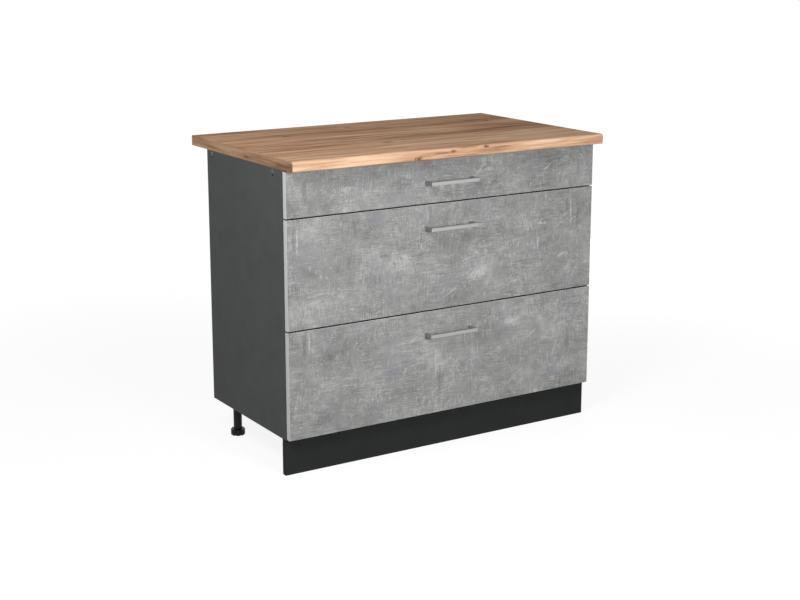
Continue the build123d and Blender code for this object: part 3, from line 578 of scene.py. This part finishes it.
def bell(tree, corner, fray, middle, size, angle=0.0):
    """One mark on a front: 1 in its middle, 0 past its size, in mm from the upper left corner."""
    turn = math.radians(angle)
    away = add(tree, "VectorMath", {0: corner, 1: (middle[0], 0.0, -middle[1])}, operation="SUBTRACT")
    turned = add(tree, "VectorRotate", {"Vector": away, "Axis": (0, 1, 0), "Angle": turn})
    scale = (1 / size[0], 0.0, 1 / size[1])
    scaled = add(tree, "VectorMath", {0: turned, 1: scale}, operation="MULTIPLY")
    return mark(tree, scaled, fray, full=0.1, gone=1.2)


def marks_and_specks(tree, colour, place, corner, level):
    """Lays a front's marks over a colour, and then its specks."""
    fray = fraying(tree, place, size=9, detail=3.0, reach=0.6)
    for tint, across, down, wide, high, angle in MARKS[level]:
        shape = bell(tree, corner, fray, (across, down), (wide, high), angle)
        colour = laid_over(tree, colour, tint, shape, MARK_STRENGTH)
    here = patches(tree, place, 38.0, low=0.62, high=0.72)
    for middle in SPECKS[level]:
        group = bell(tree, corner, fray, middle, SPECKS_SIZE)
        here = add(tree, "Math", {0: here, 1: group}, operation="MAXIMUM")
    cells = add(tree, "TexVoronoi", {"Vector": place, "Scale": 1 / SPECK_CELL, "Randomness": 1.0})
    speck = add(tree, "MapRange", {"Value": cells.outputs["Distance"], "From Min": 0.34,
                                   "From Max": 0.12})
    return laid_over(tree, colour, SPECK_COLOUR, speck, here, SPECK_STRENGTH)


print("marks", {level: len(marks) for level, marks in MARKS.items()})

# %% [markdown]
# ## Concrete: the fronts
# Now the parts of the print come together. The clouds are moved from one front to the next, as on fronts cut
# from different places of a sheet. The upright edges are banded in a plain pale grey. The long level edges,
# which look black in the photograph, are painted nearly black: painted shade for the narrow gaps between the
# fronts. The bands could be pieces of their own, but they are as thin as film, so as on the worktop the place
# tells them from the face.

# %% Concrete: the fronts
LEVELS = ("bottom", "middle", "top")
# how far the clouds are moved on each front, in mm
SHIFTS = {"bottom": (0.0, 0.0, 0.0), "middle": (310.0, 0.0, 640.0), "top": (-420.0, 0.0, 1480.0)}
WAVE_SIZE, WAVE_BEND = 60, 12.0
# the print ends this far behind the face, where the bands begin, in mm
PRINT_DEPTH = 0.25
# the pale band is the edging's own colour; the dark one is painted shade for the gaps between the fronts
PALE_BAND, GAP_SHADE_BAND = "#e4e5e4", "#141414"


def concrete_front(level):
    """The print of one front, with its bands."""
    (left_edge, face, low_edge), (_, _, top_edge) = edges(f"drawer_front_{level}")
    name = f"concrete_melamine_{level}"
    material, tree, shader, place = start_finish(name, IOR=1.5, Specular_IOR_Level=0.2)
    corner = add(tree, "VectorMath", {0: place, 1: (-left_edge, 0.0, -top_edge)}, operation="ADD")
    moved = add(tree, "VectorMath", {0: corner, 1: SHIFTS[level]}, operation="ADD")
    waves = add(tree, "TexNoise", {"Vector": moved, "Scale": 1 / WAVE_SIZE, "Detail": 2.0})
    waves = waves.outputs["Color"]
    warped = add(tree, "VectorMath", {0: waves, 1: (WAVE_BEND,) * 3, 2: moved}, operation="MULTIPLY_ADD")
    tone, colour = concrete_ground(tree, moved, warped)
    colour = trowel_lines(tree, colour, moved, warped)
    colour = veins(tree, colour, moved, waves)
    colour = marks_and_specks(tree, colour, moved, corner, level)
    colour = laid_over(tree, colour, PALE_BAND, past(tree, place, "Y", face + PRINT_DEPTH))
    # painted shade: the long level edges are made nearly black, as the gaps between the fronts are in shade
    colour = laid_over(tree, colour, GAP_SHADE_BAND, past(tree, place, "Z", top_edge - SKIN))
    colour = laid_over(tree, colour, GAP_SHADE_BAND, past(tree, place, "Z", low_edge + SKIN, "LESS_THAN"))
    rough = add(tree, "MapRange", {"Value": tone, "From Min": 0.35, "From Max": 0.65, "To Min": 0.62,
                                   "To Max": 0.48})
    complete(tree, shader, colour, tone, strength=0.2, depth=0.5, rough=rough)
    return material


for level in LEVELS:
    dress(concrete_front(level), f"drawer_front_{level}")

# %% [markdown]
# ## Melamine board
# The other boards are chipboard under a hard one-coloured film. One flat grey would look like paint, so a
# fine pearl texture moves the colour a little and breaks up the shine. Cut rear edges show the chipboard. The
# holes near the top of the sides, for linking cabinets, are black in the photograph. In the render, light
# reaches their walls, so what lies near the axis of a hole is painted nearly black: painted shade.

# %% Melamine board
# the pearl texture, drawn a little coarser than the real one so that it shows, and faint wide clouds: mm
PEARLS = (((60, 60, 60), 0.4), ((1.5, 1.5, 1.5), 0.6))
PEARL_SPREAD = 0.14
HOLE_SHADE_COLOUR = "#0c0c0c"
# the broken edge round a drilled hole, in mm, which gets the hole's painted shade too
HOLE_RIM = 0.4


def hole_shade(tree, place, mount):
    """Where the holes' painted shade goes: 1 inside the holes of a bolt pattern along X, and on the rim round
    each; 0 elsewhere.
    """
    radius = mount["dims"]["hole_r_mm"] + HOLE_RIM
    half_spacing = mount["dims"]["spacing_x_mm"] / 2
    inside = 0.0
    for offset in (-half_spacing, half_spacing):
        middle = Vector(mount["pos_m"]) * MM_PER_M + Vector((0.0, offset, 0.0))
        away = add(tree, "VectorMath", {0: place, 1: middle}, operation="SUBTRACT")
        across = add(tree, "VectorMath", {0: away, 1: (0.0, 1.0, 1.0)}, operation="MULTIPLY")
        distance = add(tree, "VectorMath", {0: across}, operation="LENGTH").outputs["Value"]
        near = add(tree, "Math", {0: distance, 1: radius}, operation="LESS_THAN")
        inside = add(tree, "Math", {0: inside, 1: near}, operation="MAXIMUM")
    return inside


def mottled(tree, tone, colour, spread):
    """A colour that is darker by the share spread in the dark parts of a tone, and lighter in the light."""
    dark, light = ([c * k for c in linear(colour)[:3]] + [1.0] for k in (1 - spread, 1 + spread))
    return add(tree, "ValToRGB", {"Fac": tone}, stops=((0.3, dark), (0.7, light)))


def melamine(name, colour, rough, cut_behind=None, holes=None):
    """One-colour melamine board; past cut_behind in Y it is bare chipboard, and its holes get painted shade.
    """
    material, tree, shader, place = start_finish(name, IOR=1.5, Specular_IOR_Level=0.02)
    tone = layered(tree, place, PEARLS)
    board = mottled(tree, tone, colour, PEARL_SPREAD)
    if cut_behind is not None:
        board = laid_over(tree, board, chipboard(tree, place), past(tree, place, "Y", cut_behind))
    if holes is not None:
        # painted shade: the link holes and their rims are made nearly black
        board = laid_over(tree, board, HOLE_SHADE_COLOUR, hole_shade(tree, place, holes))
    complete(tree, shader, board, tone, strength=0.15, depth=0.3, rough=rough)
    return material


print("pearls of", PEARLS[-1][0][0], "mm")

# %% [markdown]
# ## Carcass, plinth, drawers and back
# The carcass is anthracite, the plinth is a darker board of the same kind, the drawers have pale grey bottoms
# and backs, and the cabinet's back is thin lacquered hardboard. Panels that are cut from one board share one
# finish. Only the sides have their own, because the rails lie near the axes of the holes, and the darkening
# would show on them too.

# %% Carcass, plinth, drawers and back
ANTHRACITE = "#5e605f"
HANDS = ("left", "right")


def each(stem, *endings):
    """A stem with every choice from some lists of endings, such as drawer_side_top_left."""
    return ["_".join(parts) for parts in itertools.product([stem], *endings)]


# pressed film over the chips: a dark grey with a faint pearl
carcass_rear = edges("side_panel_left")[1][1] - SKIN
link_holes = next(mount for mount in frame["record"]["mounts"] if mount["name"] == "left_link_holes")
# the sides carry the painted shade in their link holes
side_board = melamine("anthracite_melamine_bored", ANTHRACITE, 0.5, carcass_rear, link_holes)
dress(side_board, *each("side_panel", HANDS))
inner_board = melamine("anthracite_melamine", ANTHRACITE, 0.5, carcass_rear)
dress(inner_board, "bottom_panel", "front_rail", "rear_rail")

# nearly black, so that the plinth recedes under the fronts
dress(melamine("black_melamine_plinth", "#2e302f", 0.5), "plinth_panel")

# pale and a little smoother, as the inside of a drawer is
drawer_board = melamine("pale_grey_melamine", "#c3c5c4", 0.45)
dress(drawer_board, *each("drawer_bottom", LEVELS), *each("drawer_back", LEVELS))

# lacquer on pressed fibres: a duller grey than the melamine
dress(melamine("lacquered_hardboard", "#8b8d8c", 0.55), "back_panel")

# %% [markdown]
# ## Coats and metals
# These surfaces are even: the eye sees their colour, how soft their shine is, and a fine grain. Each could
# have a network of its own, but they differ only in numbers, so one function makes them all. The size of the
# grain is its real one, or a little coarser where the real one would be too fine to show.

# %% Coats and metals
# faint clouds in a finish are this many times as large as its grain
CLOUD_SCALE = 12


def grained(name, colour, grain, rough, spread=0.1, **shader_inputs):
    """A coat, casting, moulding or turning with an even grain of a size in mm along X, Y and Z."""
    material, tree, shader, place = start_finish(name, **shader_inputs)
    tone = layered(tree, place, [(grain, 0.7), ([CLOUD_SCALE * size for size in grain], 0.3)])
    surface = mottled(tree, tone, colour, spread)
    soft = add(tree, "MapRange", {"Value": tone, "From Min": 0.3, "From Max": 0.7, "To Min": rough + 0.06,
                                  "To Max": rough - 0.06})
    complete(tree, shader, surface, tone, strength=0.2, depth=0.2, rough=soft)
    return material


# powder sprayed on steel and melted: an even pale grey with a slight orange peel
powder_coat = grained("grey_powder_coat", "#b4b7b8", (1.2, 1.2, 1.2), 0.42)
dress(powder_coat, *each("drawer_side", LEVELS, HANDS), *each("cabinet_rails", LEVELS))

# blackened steel: darker heads that still catch a glint
dress(grained("blackened_steel", "#6c6f72", (2.0, 2.0, 2.0), 0.36, Metallic=1.0), "confirmat_screws")

# a thin bright plating on screws and stampings: a cool grey with soft reflections
zinc_plate = grained("zinc_plated_steel", "#b9bcc0", (2.0, 2.0, 2.0), 0.32, Metallic=1.0)
dress(zinc_plate, "worktop_screws", "chipboard_screws", *each("drawer_screws", LEVELS),
      *each("front_brackets", LEVELS))

# zinc cast in a die and left bare: duller and darker than the plating
dress(grained("cast_zinc", "#9b9ea1", (0.8, 0.8, 0.8), 0.48, Metallic=1.0), "cam_connectors")

# brushed along the bar and anodised: a satin shine with fine lines, drawn 0.35 mm wide so that they show
aluminium = grained("brushed_aluminium", "#a09f9d", (30.0, 0.35, 0.35), 0.6, Metallic=1.0)
dress(aluminium, *each("handle", LEVELS))

# %% [markdown]
# ## Plastics and dowels
# Feet, sockets and clips are black plastic from a mould with a spark-eroded, sandy wall. The rollers are
# nylon, and the dowels are beech. They could be given a gloss of their own, but the same even grain serves
# them, with more or less spread in its colour.

# %% Plastics and dowels
ENDS = ("front", "rear")

# the mould leaves the black plastic dull, with a fine grain
black_plastic = grained("black_moulded_plastic", "#0b0b0b", (0.8, 0.8, 0.8), 0.42, spread=0.25,
                        Specular_IOR_Level=0.2)
dress(black_plastic, "foot_sockets", "foot_tubes", "plinth_clips", *each("foot", ENDS, HANDS))

# moulded nylon is a warm white that is almost even
nylon = grained("white_nylon", "#e4e2da", (1.5, 1.5, 1.5), 0.38, spread=0.04)
dress(nylon, *each("cabinet_roller", LEVELS, HANDS), *each("drawer_roller", LEVELS, HANDS))

# turned beech is pale brown, with short flecks along the dowel
dress(grained("beech_dowel", "#c99f72", (14.0, 0.8, 0.8), 0.6, spread=0.2), "wood_dowels")
